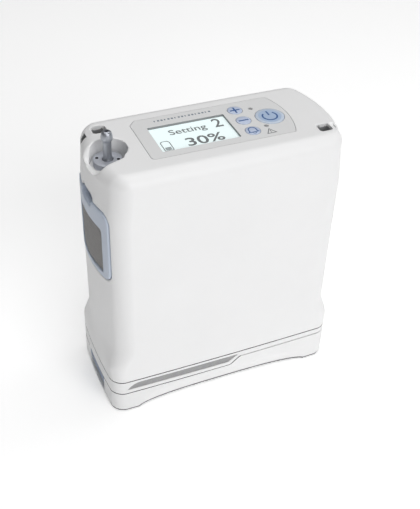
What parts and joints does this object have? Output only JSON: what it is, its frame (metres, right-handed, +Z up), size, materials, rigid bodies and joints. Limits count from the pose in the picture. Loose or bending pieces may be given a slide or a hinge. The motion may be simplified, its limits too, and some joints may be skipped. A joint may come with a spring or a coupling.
{
  "type": "portable oxygen concentrator",
  "caption": "Hand-carried oxygen concentrator: white housing with a top control panel and display, barbed outlet nozzle, end filters and a slide-off battery foot.",
  "frame": {"origin": "centre of the bounding box at the underside of the battery, on the surface it stands on", "axes": "+X along the 150 mm length towards the power-button end, +Y to the back, +Z up; the front is -Y"},
  "size_m": [0.15, 0.068, 0.181],
  "materials": {
    "white_shell": "satin moulded, fine texture",
    "panel_grey": "satin overlay film",
    "base_grey": "matte moulded",
    "grille_grey": "matte louvred strip",
    "filter_blue": "satin blue-grey",
    "filter_mesh": "fine woven mesh",
    "latch_blue": "satin blue-grey",
    "outlet_metal": "satin grey metal",
    "button_blue": "satin light blue",
    "lamp": "translucent grey",
    "display_glass": "clear window over a lit display",
    "cast_metal": "machined",
    "steel": "zinc plated",
    "circuit_board": "green solder mask",
    "black_plastic": "matte black",
    "black_rubber": "matte",
    "clear_tube": "milky silicone",
    "cell_wrap": "shrink sleeve",
    "contact_brass": "plated"
  },
  "bodies": {
    "housing": {"upper_housing": "white_shell", "lower_housing": "white_shell", "control_panel": "panel_grey", "exhaust_grille": "grille_grey", "cannula_nozzle": "outlet_metal", "nozzle_base": "outlet_metal", "status_led": "lamp", "alert_led": "lamp", "display_window": "display_glass", "lcd_module": "cast_metal", "crankcase": "cast_metal", "pressure_cylinder": "cast_metal", "vacuum_cylinder": "cast_metal", "sieve_column_a": "cast_metal", "sieve_column_b": "cast_metal", "valve_manifold": "cast_metal", "compressor_motor": "steel", "housing_screw_1": "steel", "housing_screw_2": "steel", "housing_screw_3": "steel", "housing_screw_4": "steel", "display_board": "circuit_board", "main_board": "circuit_board", "column_base": "black_plastic", "column_cap": "black_plastic", "solenoid_valve_a": "black_plastic", "solenoid_valve_b": "black_plastic", "product_tank": "black_plastic", "oxygen_sensor": "black_plastic", "speaker": "black_plastic", "fan_frame": "black_plastic", "dc_power_inlet": "black_plastic", "nozzle_seal": "black_rubber", "vibration_mount_1": "black_rubber", "vibration_mount_2": "black_rubber", "vibration_mount_3": "black_rubber", "vibration_mount_4": "black_rubber", "intake_hose": "clear_tube", "product_hose": "clear_tube"},
    "battery": {"battery_case": "white_shell", "battery_base": "base_grey", "battery_cell_1": "cell_wrap", "battery_cell_2": "cell_wrap", "battery_cell_3": "cell_wrap", "battery_cell_4": "cell_wrap", "battery_board": "circuit_board", "battery_contacts": "contact_brass", "latch_spring": "steel"},
    "latch": {"battery_latch": "latch_blue"},
    "plus_key": {"button_plus": "button_blue"},
    "minus_key": {"button_minus": "button_blue"},
    "alert_key": {"button_alert": "button_blue"},
    "power_key": {"button_power": "button_blue"},
    "filter_left": {"filter_frame_left": "filter_blue", "filter_mesh_left": "filter_mesh"},
    "filter_right": {"filter_frame_right": "filter_blue", "filter_mesh_right": "filter_mesh"},
    "fan_wheel": {"fan_rotor": "black_plastic"},
    "crank": {"crank_rotor": "steel"},
    "column_catch": {"column_latch": "latch_blue"}
  },
  "joints": [
    {"name": "press_plus", "type": "slide", "parent": "housing", "child": "plus_key", "axis": [0, 0, -1], "range_m": [0, 0.0006], "stiffness_N_per_m": 800},
    {"name": "press_minus", "type": "slide", "parent": "housing", "child": "minus_key", "axis": [0, 0, -1], "range_m": [0, 0.0006], "stiffness_N_per_m": 800},
    {"name": "press_alert", "type": "slide", "parent": "housing", "child": "alert_key", "axis": [0, 0, -1], "range_m": [0, 0.0006], "stiffness_N_per_m": 800},
    {"name": "press_power", "type": "slide", "parent": "housing", "child": "power_key", "axis": [0, 0, -1], "range_m": [0, 0.0006], "stiffness_N_per_m": 800},
    {"name": "battery_slide", "type": "slide", "parent": "housing", "child": "battery", "axis": [1, 0, 0], "range_m": [0, 0.165]},
    {"name": "latch_press", "type": "slide", "parent": "battery", "child": "latch", "axis": [0, 0, -1], "range_m": [0, 0.0025], "stiffness_N_per_m": 600},
    {"name": "filter_left_pull", "type": "slide", "parent": "housing", "child": "filter_left", "axis": [-1, 0, 0], "range_m": [0, 0.03]},
    {"name": "filter_right_pull", "type": "slide", "parent": "housing", "child": "filter_right", "axis": [1, 0, 0], "range_m": [0, 0.03]},
    {"name": "column_catch_slide", "type": "slide", "parent": "housing", "child": "column_catch", "axis": [0, 1, 0], "range_m": [0, 0.003], "stiffness_N_per_m": 400},
    {"name": "fan_spin", "type": "hinge", "parent": "housing", "child": "fan_wheel", "pos_m": [-0.059, 0, 0.1174], "axis": [1, 0, 0], "continuous": true},
    {"name": "crank_spin", "type": "hinge", "parent": "housing", "child": "crank", "pos_m": [-0.012, -0.004, 0.052], "axis": [0, 1, 0], "continuous": true}
  ]
}
